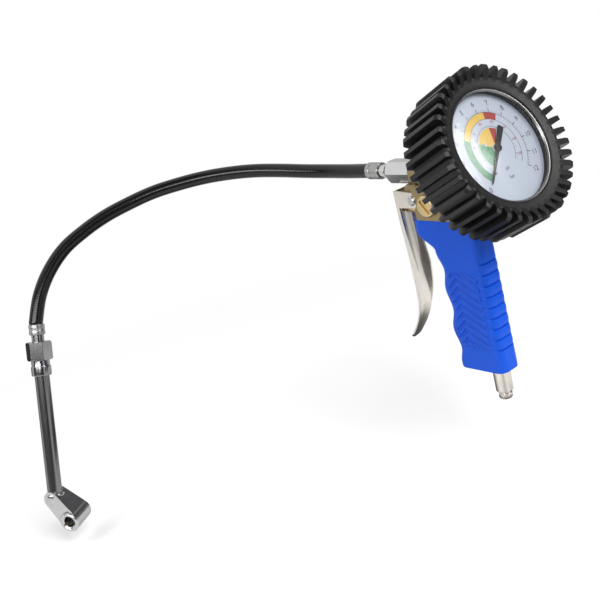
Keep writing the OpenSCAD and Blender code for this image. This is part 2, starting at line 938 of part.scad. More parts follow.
module chuck_head() {
    color(chrome)
        difference() {
            union() {
                at_head() {
                    intersection() {
                        translate([0, 0, -12])
                            linear_extrude(24)
                                web_outline();
                        across(-12, 12)
                            polygon([[-head_arm - 9, -5], [-4, -9.8], [9, -9.8], [9, 9], [-4, 9],
                                [-head_arm - 9, 5]]);
                    }
                    rotate_extrude()
                        polygon([[0, -port_far], [6.8, -port_far], [7.8, 1 - port_far], [7.8, port_far - 1],
                            [6.8, port_far], [0, port_far]]);
                }
                at_chuck()
                    translate([0, 0, head_z])
                        rotate_extrude()
                            polygon([[0, -7.4], [3, -7.2], [5.6, -5.4], [7, -3], [7.5, 0], [7.4, 1.8],
                                [6.8, 2.8], [0, 2.8]]);
            }
            at_chuck()
                translate([0, 0, head_z - 3.05])
                    cylinder(h = 20, r = chuck_tube_r + 0.03);
            at_head() {
                rotate([0, -90, 0])
                    cylinder(h = head_arm, r = 2);
                for (a = [0, 180])
                    rotate([a, 0, 0]) {
                        cylinder(h = 3, r = 1.4);
                        translate([0, 0, 2.2])
                            cylinder(h = 2.4, r = port_r + 0.4);
                        translate([0, 0, 4.5])
                            cylinder(h = 20, r = port_r);
                        translate([0, 0, port_far - 1])
                            cylinder(h = 1.5, r1 = port_r, r2 = port_r + 1.8);
                    }
            }
        }
}

// Rubber washer at the bottom of a port
module port_seal() {
    difference() {
        cylinder(h = 2.3, r = port_r + 0.37);
        translate([0, 0, -1])
            cylinder(h = 5, r = 2.2);
    }
}

module near_port_seal() {
    color(rubber)
        at_head()
            translate([0, 0, 2.25])
                port_seal();
}

module far_port_seal() {
    color(rubber)
        at_head()
            rotate([180, 0, 0])
                translate([0, 0, 2.25])
                    port_seal();
}

// Fixed pin that opens the tyre valve, on a bar that leaves air room to pass
module depressor() {
    intersection() {
        rotate_extrude()
            polygon([[0, 2.22], [2.1, 2.22], [2.1, 3], [0.8, 3.2], [0.8, 4.4], [0.5, 4.7], [0, 4.7]]);
        translate([-3, -0.8, 2])
            cube([6, 1.6, 4]);
    }
}

module near_depressor() {
    color(brass)
        at_head()
            depressor();
}

module far_depressor() {
    color(brass)
        at_head()
            rotate([180, 0, 0])
                depressor();
}

grip();
air_tube();
inlet_nipple();
inlet_seal();
valve_body();
side_plug();
side_plug_seal();
plunger_gland();
plunger_seal();
valve_spring();
plunger();
valve_disc();
pivot_pin();
lever();
hose_adaptor();
adaptor_seal();
gauge_stem();
stem_seal();
gauge_boot();
gauge_case();
bezel();
lens();
lens_gasket();
dial_plate();
dial_screws();
dial_posts();
stop_pin();
bourdon_tube();
tip_link();
sector_gear();
pointer_shaft();
pointer();
hairspring();
back_plate();
front_plate();
movement_pillars();
front_ferrule();
hose();
rear_ferrule();
hose_coupling();
coupling_collar();
chuck_tube();
chuck_head();
near_port_seal();
far_port_seal();
near_depressor();
far_depressor();
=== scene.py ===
import math

import bmesh
import bpy
from mathutils import Matrix, Vector


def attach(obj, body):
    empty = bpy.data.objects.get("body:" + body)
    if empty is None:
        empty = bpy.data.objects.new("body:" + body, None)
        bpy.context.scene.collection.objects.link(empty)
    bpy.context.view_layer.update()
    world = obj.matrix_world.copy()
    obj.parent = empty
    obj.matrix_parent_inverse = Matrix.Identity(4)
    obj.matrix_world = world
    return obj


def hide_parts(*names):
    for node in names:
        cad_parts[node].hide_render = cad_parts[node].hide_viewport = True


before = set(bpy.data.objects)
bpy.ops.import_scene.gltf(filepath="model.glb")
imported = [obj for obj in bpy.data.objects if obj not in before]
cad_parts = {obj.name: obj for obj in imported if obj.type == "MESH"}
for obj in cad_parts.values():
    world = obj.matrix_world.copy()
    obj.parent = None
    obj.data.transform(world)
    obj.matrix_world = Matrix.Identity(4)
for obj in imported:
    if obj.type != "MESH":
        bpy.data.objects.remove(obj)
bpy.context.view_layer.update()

bl_info = {
    "name": "Tyre Inflator",
    "version": (1, 0, 0),
    "blender": (4, 5, 0),
    "location": "View3D > Sidebar > Inflator",
    "description": "Dresses a pistol-grip tyre inflator: hose, grip, dial print and finishes",
    "category": "Object",
}

MM = 0.001
BODY = "gun"

# Hose, in millimetres. Its run goes from inside the gun's ferrule to inside the chuck's.
HOSE_ROUTE = (
    (79, 0, 156), (87, 0, 156), (89, 0, 156), (107, 1, 156), (128, 4, 157), (147, 10, 159),
    (166, 18, 162), (184, 28, 165), (200, 40, 167), (215, 54, 168), (227, 70, 168),
    (238, 88, 167), (247, 106, 164), (254, 125, 160), (259, 144, 154), (263, 162, 146),
    (264.4, 178.4, 134), (263.8, 191.6, 119.8), (261.76, 201.64, 103.3), (261.5, 202.2, 101.4),
    (260.586, 204.161, 94.743),
)
HOSE_STEPS = 14
HOSE_SIDES = 40

# How much thinner the hose is inside its ferrules, and how far from its ends it swells
HOSE_NECK = 0.45
HOSE_NECK_END = (7.2, 8.6)

# Cloth marks on the hose: the way that sets where their map begins, and how they sway round it
WRAP_START = (-0.6, 0.3, 0.75)
WRAP_WAVES = 4
WRAP_SWAY = 0.6

# Grip, in millimetres. Its front is a list of swells and hollows, as height and x.
GRIP_FRONT = (
    (16.5, 29.6), (20, 29.8), (31, 27.4), (45.5, 31.3), (60, 27.9), (75, 31.2), (88, 28.8),
    (102, 33.4), (115, 47.3), (124.5, 46.5),
)
GRIP_LOW = GRIP_FRONT[0][0]
GRIP_TOP = GRIP_FRONT[-1][0]
GRIP_EDGE = 0.5
GRIP_FRONT_R = 7
GRIP_BACK_R = 6
GRIP_BACK_X = -8.6
GRIP_BACK_LEAN = 0.017
GRIP_SPLIT_ANGLE = math.radians(50)
TUBE_HOLE = 7.2

# Grooves across the grip's back. Their dent runs out round the back corners, in degrees of turn.
GROOVE_LOW = 32.5
GROOVES = 9
GROOVE_SLOPE = 0.3
GROOVE_FLOOR = 1.1
GROOVE_END = 1.4
BLOCK_CROWN = 0.25
BACK_DENT_TURN = (20, 65)
SIDE_DENT_TURN = (0, 30)
SIDE_DENT_PART = 0.4

# Mould line down the grip's back corners, where it fades out and where it lies in degrees of turn
SEAM_DEPTH = 0.35
SEAM_FOOT = (GROOVE_LOW, GROOVE_LOW + 2)
SEAM_HEAD = (98, 101)
SEAM_RISE_TURN = (34, 40)
SEAM_FALL_TURN = (46, 52)

# Rings of the grip's skin and corners on a ring, with the gaps between one stretch and the next
EDGE_RINGS = (0, 0.3, 0.65, 1)
FOOT_RINGS = 30
GROOVE_RINGS = (0, 0.1, 0.2, 0.3, 0.7, 1.1, 1.2, 1.3, 1.4)
BLOCK_RINGS = 17
HEAD_RINGS = 44
FRONT_CORNERS = 4
FRONT_ROUND_CORNERS = 11
SIDE_CORNERS = 58
BACK_ROUND_CORNERS = 17
BACK_CORNERS = 6
EDGE_GAP = 1
FOOT_GAP = 0.4
BLOCK_GAP = 0.3
ROUND_GAP = 0.3
MIDDLE_GAP = 0.2

# Chevrons on the grip's sides: their peak, the slopes of their arms and the part of a wave that rises
CHEVRON_X = 14.5
CHEVRON_SLOPES = (0.55, 0.95)
CHEVRON_FLANK = (0.36, 0.62)

# Soft edges of the field of chevrons: the front one follows the grip's front
CHEVRON_BACK = (-4, -3)
CHEVRON_FRONT_GAP = (8, 7)
CHEVRON_FOOT = (34, 35.5)
CHEVRON_HEAD = (87, 89)

# Dial print, in millimetres on the dial. Places on its scale run from 0 to 1.
GAUGE_PLACE = (-37, 0, 172.8)
DIAL_FACE = -6.0
DIAL_START = math.radians(225)
BAND_LIFT = 0.04
LINE_LIFT = 0.05
INK_LIFT = 0.06
SCALE_STEPS = 120
LEAST_STEPS = 4
BANDS = (("outer", 19.6, 24.2), ("inner", 3.2, 13.6))
ZONES = (("green", 0.0, 0.28), ("amber", 0.28, 0.54), ("red", 0.54, 0.63))
SCALE_LINES = (
    ("scale_line_196", 19.6, 0.12), ("scale_line_242", 24.2, 0.12), ("inner_scale_line", 14.5, 0.1),
)
MAJOR_TICK = (24.2, 27.0, 0.5)
MINOR_TICK = (24.2, 25.6, 0.2)
MINOR_TICKS = 5
INNER_TICK = (14.5, 16.0, 0.18)
INNER_SHORT_TICK = (14.5, 15.3, 0.18)
INNER_TICKS = 34
NUMBERS_R = 30.6
NUMBERS_SIZE = 4.8
INNER_NUMBERS_R = 17.7
INNER_NUMBERS_SIZE = 2.5
INNER_TOP = 170
INNER_STEP = 20
UNITS = (("bar", 0, -19.5), ("psi", 0, -13.5))
UNITS_SIZE = 3.2

# Finishes: stretch and waves of the lever's sheet, roughness from a metal's marks, shine of the lens
LEVER_GRAIN = (0.1, 1, 0.05)
LEVER_WAVES = 45
MARK_ROUGHNESS = 0.56
LENS_RIM_SHINE = 1.6
LENS_LEAST_SHINE = 0.02

# Plain colours that no setting changes
CASE_BLACK = (0.02, 0.02, 0.022)
POINTER_BLACK = (0.004, 0.004, 0.005)
FLAG_GREY = (0.09, 0.09, 0.095)
LENS_TINT = (0.985, 0.99, 0.992)
EDGE_TINT = (0.6, 0.6, 0.6)
BLACK = (0, 0, 0)
WHITE = (1, 1, 1)

# Edges of the CAD pieces
WELD_GAP = 2e-6
EDGE_ANGLE = math.radians(35)
EDGE_SEGMENTS = 2
EDGE_WEIGHT = 80

# Camera, in metres
CAMERA_PLACE = (-0.4388, 0.4594, 0.3030)
CAMERA_RIGHT = Vector((-0.6234, -0.7447, -0.2384))
CAMERA_UP = Vector((0.1001, -0.3784, 0.9202))
CAMERA_LENS = 60
CAMERA_SENSOR = 36
CAMERA_NEAR = 0.01

# Floor, in metres. It fades out between two distances from its middle.
FLOOR_PLACE = (0.12, 0.1, -0.06)
FLOOR_AIM = (0.12, 0.1, 1)
FLOOR_SIZE = (1.3, 1.3)
FLOOR_FADE_START = 0.28
FLOOR_FADE_WIDTH = 0.3
FLOOR_LOW = (0.95, 0.95, 0.95)
FLOOR_HIGH = (0.97, 0.97, 0.97)
FLOOR_GLOW = (0.06, 0.06, 0.06)
WORLD_LIGHT = 0.5

# Lamps, in metres and watts: name, place, aim, size, power and the kind of ray that misses them
MIDDLE = (0.05, 0.05, 0.1)
LAMPS = (
    ("key", (-1.0, 0.22, 1.15), MIDDLE, (0.8, 0.8), 15, "glossy"),
    ("fill", (-0.92, -0.6, 0.76), (-0.04, 0, 0.17), (0.36, 0.4), 5, None),
    ("rim", (0.5, 0.9, 0.9), MIDDLE, (0.8, 0.6), 5, "glossy"),
    ("streak", (-0.15, 0.82, 0.47), (0.2, 0.05, 0.16), (1.0, 0.26), 7, "diffuse"),
)

# Dark flags that only reflections see, in metres: name, place, aim and size
GUN = (0.02, 0, 0.12)
CHUCK = (0.24, 0.22, 0)
FLAGS = (
    ("flag_back", (-0.66, 0.63, 0.35), GUN, (1.5, 1.0)),
    ("flag_right", (-0.32, -0.9, 0.3), GUN, (1.05, 1.2)),
    ("flag_top", (-0.13, 0.43, 1.0), GUN, (0.5, 1.2)),
    ("flag_left", (0.05, 1.25, 0.55), GUN, (1.6, 1.1)),
    ("flag_facet", (0.18, -0.75, 0.38), CHUCK, (0.6, 0.6)),
    ("flag_floor", (-0.42, 0.42, -0.057), (-0.42, 0.42, 1), (0.6, 0.6)),
    ("flag_floor_right", (0.1, 0.0, -0.057), (0.1, 0.0, 1), (0.4, 0.18)),
    ("flag_side", (0.85, 0.34, 0.0), (0.26, 0.2, 0.09), (0.3, 0.36)),
    ("flag_low", (-0.75, -0.3, 0.04), (0.24, 0.22, 0.04), (0.4, 0.18)),
)
FLAG_MISSED_BY = ("camera", "diffuse", "shadow", "transmission")


# Settings


class InflatorSizes(bpy.types.PropertyGroup):
    """Sizes of the pieces that are made here"""

    hose_diameter: bpy.props.FloatProperty(
        name="Hose diameter", description="Outside of the hose", default=0.0104, unit="LENGTH")
    hose_wrap: bpy.props.FloatProperty(
        name="Hose wrap", description="Spacing of the cloth marks round the hose", default=0.0013,
        unit="LENGTH")
    grip_width: bpy.props.FloatProperty(
        name="Grip width", description="Across the grip's two sides", default=0.019, unit="LENGTH")
    groove_pitch: bpy.props.FloatProperty(
        name="Groove pitch", description="Spacing of the grooves across the grip's back",
        default=0.0077, unit="LENGTH")
    groove_depth: bpy.props.FloatProperty(
        name="Groove depth", description="Depth of those grooves", default=0.001, unit="LENGTH")
    chevron_pitch: bpy.props.FloatProperty(
        name="Chevron pitch", description="Spacing of the chevrons on the grip's sides",
        default=0.0062, unit="LENGTH")
    chevron_rise: bpy.props.FloatProperty(
        name="Chevron rise", description="Height of those chevrons", default=0.0011, unit="LENGTH")
    dial_tilt: bpy.props.FloatProperty(
        name="Dial tilt", description="Lean of the dial from upright", default=math.radians(25),
        subtype="ANGLE")
    dial_sweep: bpy.props.FloatProperty(
        name="Dial sweep", description="Turn of the pointer over its scale",
        default=math.radians(270), subtype="ANGLE")
    dial_top: bpy.props.IntProperty(
        name="Dial top", description="Highest number on the outer scale", default=12)


def tint(name, description, color):
    """A colour setting."""
    return bpy.props.FloatVectorProperty(
        name=name, description=description, default=color, subtype="COLOR", size=3, min=0, max=1)


class InflatorColours(bpy.types.PropertyGroup):
    """Colours of the finishes"""

    grip: tint("Grip", "Moulded plastic of the grip", (0.001, 0.084, 0.65))
    rubber: tint("Rubber", "Boot, hose and seals", (0.006, 0.006, 0.0065))
    brass: tint("Brass", "Valve body, plug and movement", (0.86, 0.67, 0.36))
    nickel: tint("Nickel", "Lever and inlet", (0.63, 0.595, 0.54))
    chrome: tint("Chrome", "Chuck, adaptor and bezel", (0.55, 0.55, 0.555))
    steel: tint("Steel", "Ferrules, pins and screws", (0.55, 0.55, 0.54))
    dial: tint("Dial", "Face of the dial", (0.44, 0.475, 0.55))
    green: tint("Green", "Low part of the scale", (0.05, 0.21, 0.09))
    amber: tint("Amber", "Middle part of the scale", (0.62, 0.40, 0.07))
    red: tint("Red", "High part of the scale", (0.32, 0.03, 0.03))
    print_black: tint("Print", "Numbers and ticks", (0.02, 0.02, 0.025))


# Shader maths


class Value:
    """A socket of a node tree. Arithmetic on it adds Math nodes."""

    def __init__(self, tree, socket):
        self.tree = tree
        self.socket = socket

    def output(self, key):
        """Another output of the same node."""
        return Value(self.tree, self.socket.node.outputs[key])

    def calc(self, operation, *items):
        """One Math node on these items."""
        node = self.tree.nodes.new("ShaderNodeMath")
        node.operation = operation
        for slot, item in zip(node.inputs, items):
            feed(self.tree, slot, item)
        return Value(self.tree, node.outputs[0])

    def __add__(self, other):
        return self.calc("ADD", self, other)

    def __radd__(self, other):
        return self.calc("ADD", other, self)

    def __sub__(self, other):
        return self.calc("SUBTRACT", self, other)

    def __rsub__(self, other):
        return self.calc("SUBTRACT", other, self)

    def __mul__(self, other):
        return self.calc("MULTIPLY", self, other)

    def __rmul__(self, other):
        return self.calc("MULTIPLY", other, self)

    def __truediv__(self, other):
        return self.calc("DIVIDE", self, other)

    def __rtruediv__(self, other):
        return self.calc("DIVIDE", other, self)

    def __pow__(self, other):
        return self.calc("POWER", self, other)

    def __rpow__(self, other):
        return self.calc("POWER", other, self)

    def sine(self):
        return self.calc("SINE", self)

    def at_least(self, other):
        return self.calc("MAXIMUM", self, other)

    def at_most(self, other):
        return self.calc("MINIMUM", self, other)


def feed(tree, socket, item):
    """Links a Value to a socket, or sets a plain number, colour or vector on it."""
    if isinstance(item, Value):
        tree.links.new(item.socket, socket)
    elif isinstance(item, (tuple, list)) and len(item) == 3 and len(socket.default_value) == 4:
        socket.default_value = (*item, 1)
    else:
        socket.default_value = item


class Nodes:
    """A node tree that is being put together."""

    def __init__(self, tree):
        self.tree = tree
        self.tree.nodes.clear()

    def node(self, kind, settings=None, output=0, **sockets):
        """Adds a node, sets it up, feeds its sockets by name or number, and gives one output."""
        node = self.tree.nodes.new("ShaderNode" + kind)
        for key, value in (settings or {}).items():
            setattr(node, key, value)
        for key, item in sockets.items():
            slot = node.inputs[int(key[1:])] if key[0] == "_" else node.inputs[key.replace("_", " ")]
            feed(self.tree, slot, item)
        return Value(self.tree, node.outputs[output])

    def close(self, kind, shader):
        """Links the last shader to the tree's output."""
        node = self.tree.nodes.new("ShaderNode" + kind)
        self.tree.links.new(shader.socket, node.inputs["Surface"])


class Finish(Nodes):
    """A material that is being put together."""

    def __init__(self, name):
        self.material = bpy.data.materials.new(name)
        self.material.use_nodes = True
        super().__init__(self.material.node_tree)

    def place(self, stretch):
        """Position on the object in metres, scaled."""
        spot = self.node("TexCoord", output="Object")
        return self.node("Mapping", Vector=spot, Scale=stretch)

    def noise(self, scale, detail=2.0, rough=0.5, stretch=(1, 1, 1)):
        """Noise with so many waves to the metre."""
        return self.node("TexNoise", Vector=self.place(stretch), Scale=scale, Detail=detail,
                         Roughness=rough)

    def blend(self, mask, low, high):
        """One colour where the mask is 0, another where it is 1."""
        return self.node("Mix", {"data_type": "RGBA"}, 2, _0=mask, _6=low, _7=high)

    def bump(self, height, distance, strength):
        """A normal from a height, with the height's size in millimetres."""
        return self.node("Bump", Height=height, Distance=distance * MM, Strength=strength)

    def end(self, shader):
        """The material with this shader on its surface."""
        self.close("OutputMaterial", shader)
        return self.material

    def surface(self, **sockets):
        """The material as one Principled shader."""
        return self.end(self.node("BsdfPrincipled", **sockets))


def shade(color, factor):
    """A colour made darker or lighter."""
    return tuple(min(1.0, part * factor) for part in color)


def plastic(tones):
    """Satin moulded plastic: fine spark-eroded grain, slight flow marks."""
    look = Finish("grip_plastic")
    base = tuple(tones.grip)
    flow = look.noise(scale=38, detail=3)
    grain = look.noise(scale=5200, rough=0.6)
    return look.surface(
        Base_Color=look.blend(flow, shade(base, 0.86), shade(base, 1.12)),
        Roughness=0.36 + 0.12 * look.noise(scale=420, detail=3),
        Normal=look.bump(grain, distance=0.05, strength=0.35),
        Specular_IOR_Level=0.25)


def moulded_rubber(tones, name="boot_rubber"):
    """Dull moulded rubber with a faint bloom."""
    look = Finish(name)
    base = tuple(tones.rubber)
    bloom = look.noise(scale=90, detail=4, rough=0.6)
    grain = look.noise(scale=2600, detail=3, rough=0.6)
    return look.surface(
        Base_Color=look.blend(bloom, shade(base, 0.4), shade(base, 1.2)),
        Roughness=0.34 + 0.18 * look.noise(scale=260, detail=3),
        Normal=look.bump(grain, distance=0.08, strength=0.4),
        Specular_IOR_Level=0.42)


def hose_rubber(tones, spacing):
    """Rubber hose with the fine crosswise marks of its cloth wrap, at this spacing along it."""
    look = Finish("hose_rubber")
    base = tuple(tones.rubber)
    turn = look.node("SeparateXYZ", Vector=look.node("UVMap"))
    run = turn.output("Y")
    sway = (turn * (2 * math.pi * WRAP_WAVES)).sine() * WRAP_SWAY
    ridge = (run * (2 * math.pi / spacing) + sway).sine() * 0.5 + 0.5
    worn = look.noise(scale=70, detail=3)
    return look.surface(
        Base_Color=look.blend(worn, shade(base, 0.35), shade(base, 0.8)),
        Roughness=0.15 + 0.1 * ridge,
        Normal=look.bump(ridge, distance=0.06, strength=0.35),
        Specular_IOR_Level=0.38)


def metal(name, color, rough, depth=0.25, dull=0.16, grain=(1, 1, 1), waves=0):
    """Bright metal with machining marks and small stains, and the waves of pressed sheet if asked."""
    look = Finish(name)
    stain = look.noise(scale=150, detail=4, rough=0.6)
    marks = look.noise(scale=1500, detail=3, rough=0.6, stretch=grain)
    height = marks
    if waves:
        height = marks + waves * look.noise(scale=220, detail=0, stretch=grain)
    return look.surface(
        Base_Color=look.blend(stain, shade(color, 1 - dull), shade(color, 1.05)),
        Metallic=1.0,
        Specular_Tint=EDGE_TINT,
        Roughness=rough + MARK_ROUGHNESS * depth * marks,
        Normal=look.bump(height, distance=0.03, strength=depth))


def paint(name, color, rough=0.4, mottle=0.08):
    """Smooth paint or print with a slight mottle."""
    look = Finish(name)
    spots = look.noise(scale=300, detail=3)
    return look.surface(
        Base_Color=look.blend(spots, shade(color, 1 - mottle), shade(color, 1 + mottle)),
        Roughness=rough + 0.08 * look.noise(scale=900),
        Specular_IOR_Level=0.4)


def clear_lens():
    """Clear window that shows the dial and takes a soft shine, most where it turns away."""
    look = Finish("lens_clear")
    facing = look.node("LayerWeight", Blend=0.5, output="Facing")
    behind = look.node("NewGeometry", output="Backfacing")
    smears = 0.85 + 0.3 * look.noise(scale=60)
    shine_part = (facing ** 3 * LENS_RIM_SHINE + LENS_LEAST_SHINE) * smears * (1 - behind)
    see = look.node("BsdfTransparent", Color=LENS_TINT)
    shine = look.node("BsdfGlossy", Roughness=0.16, Color=WHITE)
    return look.end(look.node("MixShader", _0=shine_part, _1=see, _2=shine))


def floor_paper():
    """White paper that fades out far from the object and glows a little for the camera."""
    look = Finish("floor_paper")
    spot = look.node("SeparateXYZ", Vector=look.node("TexCoord", output="Object"))
    across = (spot - FLOOR_PLACE[0]) ** 2
    along = (spot.output("Y") - FLOOR_PLACE[1]) ** 2
    far = ((across + along) ** 0.5 - FLOOR_FADE_START) / FLOOR_FADE_WIDTH
    seen = look.node("LightPath", output="Is Camera Ray")
    paper = look.node("BsdfPrincipled", Roughness=0.9, Specular_IOR_Level=0.1, Emission_Strength=1,
                      Emission_Color=look.blend(seen, BLACK, FLOOR_GLOW),
                      Base_Color=look.blend(look.noise(scale=3), FLOOR_LOW, FLOOR_HIGH))
    clear = look.node("BsdfTransparent", Color=WHITE)
    return look.end(look.node("MixShader", _0=far.at_least(0).at_most(1), _1=paper, _2=clear))


# Mesh helpers


def sizes():
    """The size settings of the scene."""
    return bpy.context.scene.inflator_sizes


def colours():
    """The colour settings of the scene."""
    return bpy.context.scene.inflator_colours


def spread(a, b, count):
    """Evenly spaced numbers from a to b, both included."""
    return [a + (b - a) * i / (count - 1) for i in range(count)]


def ring_faces(a, b, count):
    """Faces between ring a and ring b of a skin whose rings have this many corners."""
    faces = []
    for j in range(count):
        k = (j + 1) % count
        faces.append((a * count + j, a * count + k, b * count + k, b * count + j))
    return faces


def add_mesh(name, verts, faces, material, smooth=True):
    """A mesh object in the scene, in metres."""
    mesh = bpy.data.meshes.new(name)
    mesh.from_pydata([tuple(v) for v in verts], [], faces)
    mesh.validate()
    if smooth:
        mesh.shade_smooth()
    mesh.materials.append(material)
    obj = bpy.data.objects.new(name, mesh)
    bpy.context.scene.collection.objects.link(obj)
    return obj


def smooth_run(points, steps):
    """Points of a smooth curve through the given ones."""
    pts = [Vector(p) for p in points]
    run = []
    for i in range(len(pts) - 1):
        a, b, c, d = pts[max(i - 1, 0)], pts[i], pts[i + 1], pts[min(i + 2, len(pts) - 1)]
        for k in range(steps):
            t = k / steps
            run.append(0.5 * (2 * b + (c - a) * t + (2 * a - 5 * b + 4 * c - d) * t * t
                              + (3 * b - a - 3 * c + d) * t ** 3))
    return run + [pts[-1]]


def ease(a, b, v):
    """Smooth rise from 0 at a to 1 at b."""
    t = min(max((v - a) / (b - a), 0), 1)
    return t * t * (3 - 2 * t)


def swell(z, table):
    """Rolling value at height z through a list of swells and hollows."""
    for (z0, a), (z1, b) in zip(table, table[1:]):
        if z <= z1:
            t = min(max((z - z0) / (z1 - z0), 0), 1)
            return a + (b - a) * (1 - math.cos(math.pi * t)) / 2
    return table[-1][1]


def gauge_frame():
    """Matrix of the gauge: +Z out of the dial, +Y to its top, at the lip of the boot."""
    tilt = sizes().dial_tilt
    across = Vector((0, -1, 0))
    up = Vector((math.sin(tilt), 0, math.cos(tilt)))
    out = Vector((-math.cos(tilt), 0, math.sin(tilt)))
    turn = Matrix((across, up, out)).transposed().to_4x4()
    return Matrix.Translation(Vector(GAUGE_PLACE) * MM) @ turn


def dress(material, *names, bevel=0):
    """Gives CAD nodes a finish and smooth shading, with edges left sharp or rounded, in millimetres."""
    for name in names:
        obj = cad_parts[name]
        mesh = obj.data
        mesh.materials.clear()
        mesh.materials.append(material)
        if "custom_normal" in mesh.attributes:
            mesh.attributes.remove(mesh.attributes["custom_normal"])
        mesh.shade_smooth()
        obj.modifiers.new("weld", "WELD").merge_threshold = WELD_GAP
        if not bevel:
            obj.modifiers.new("edges", "EDGE_SPLIT").split_angle = EDGE_ANGLE
            continue
        soft = obj.modifiers.new("edges", "BEVEL")
        soft.width = bevel * MM
        soft.segments = EDGE_SEGMENTS
        soft.limit_method = "ANGLE"
        soft.angle_limit = EDGE_ANGLE
        obj.modifiers.new("even", "WEIGHTED_NORMAL").weight = EDGE_WEIGHT


# Pieces


class InflatorHose(bpy.types.Operator):
    """Sweeps the rubber hose along its run"""
    bl_idname = "inflator.hose"
    bl_label = "Hose"

    def skin(self, path, run, radius):
        """Corners and faces of the tube, a little thinner where it sits in its ferrules."""
        corners, faces = [], []
        last = len(path) - 1
        side = None
        for i, spot in enumerate(path):
            way = (path[min(i + 1, last)] - path[max(i - 1, 0)]).normalized()
            if side is None:
                side = way.cross(Vector(WRAP_START)).normalized()
            else:
                side = (side - way * side.dot(way)).normalized()
            other = way.cross(side)
            near_end = min(run[i], run[-1] - run[i])
            r = radius - HOSE_NECK * MM * (1 - ease(*HOSE_NECK_END, near_end / MM))
            for j in range(HOSE_SIDES):
                a = 2 * math.pi * j / HOSE_SIDES
                corners.append(spot + r * (side * math.cos(a) + other * math.sin(a)))
        for i in range(last):
            faces += ring_faces(i, i + 1, HOSE_SIDES)
        faces.append(tuple(reversed(range(HOSE_SIDES))))
        faces.append(tuple(range(last * HOSE_SIDES, (last + 1) * HOSE_SIDES)))
        return corners, faces

    def mark(self, hose, run):
        """Gives the skin a map with the turn round the hose and the metres along it."""
        layer = hose.data.uv_layers.new(name="run")
        for poly in hose.data.polygons:
            for loop in poly.loop_indices:
                i, j = divmod(hose.data.loops[loop].vertex_index, HOSE_SIDES)
                closing = poly.index % HOSE_SIDES == HOSE_SIDES - 1 and j == 0
                layer.data[loop].uv = (1.0 if closing else j / HOSE_SIDES, run[i])

    def execute(self, context):
        radius = sizes().hose_diameter / 2
        path = [p * MM for p in smooth_run(HOSE_ROUTE, HOSE_STEPS)]
        run = [0.0]
        for a, b in zip(path, path[1:]):
            run.append(run[-1] + (b - a).length)
        rubber = hose_rubber(colours(), sizes().hose_wrap)
        hose = add_mesh("rubber_hose", *self.skin(path, run, radius), rubber)
        self.mark(hose, run)
        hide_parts("hose")
        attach(hose, BODY)
        return {"FINISHED"}


